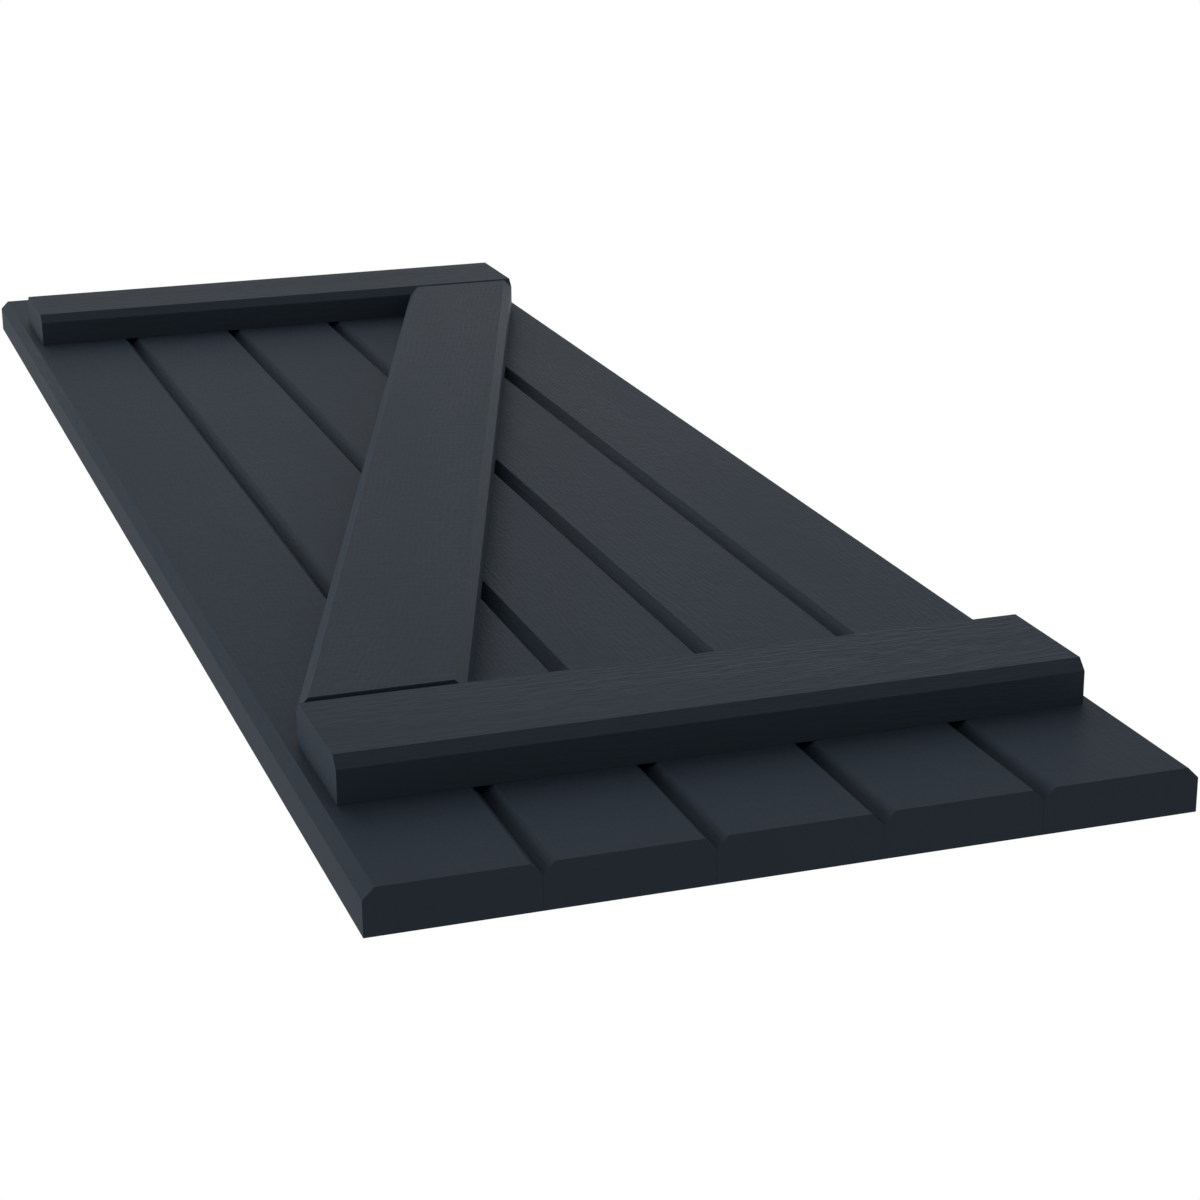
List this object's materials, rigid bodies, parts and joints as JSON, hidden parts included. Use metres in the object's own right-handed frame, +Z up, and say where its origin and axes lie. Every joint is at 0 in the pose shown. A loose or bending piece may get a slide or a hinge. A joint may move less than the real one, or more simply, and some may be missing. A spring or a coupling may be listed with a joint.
{
  "type": "board and batten shutter",
  "caption": "Tall exterior shutter of edge-to-edge boards with two cross battens and a diagonal brace on the face, flat at the back.",
  "frame": {"origin": "middle of the flat back face, where the shutter lies against the wall", "axes": "+Z up along the boards, +Y out of the back towards the wall, so the face looks along -Y, +X to the right of someone facing the shutter"},
  "size_m": [0.6984, 0.08, 2.1336],
  "materials": {
    "painted_wood": "satin slate grey paint over fine wood grain"
  },
  "bodies": {
    "root": {"board_1": "painted_wood", "board_2": "painted_wood", "board_3": "painted_wood", "board_4": "painted_wood", "board_5": "painted_wood", "bottom_batten": "painted_wood", "top_batten": "painted_wood", "brace": "painted_wood"}
  },
  "joints": []
}
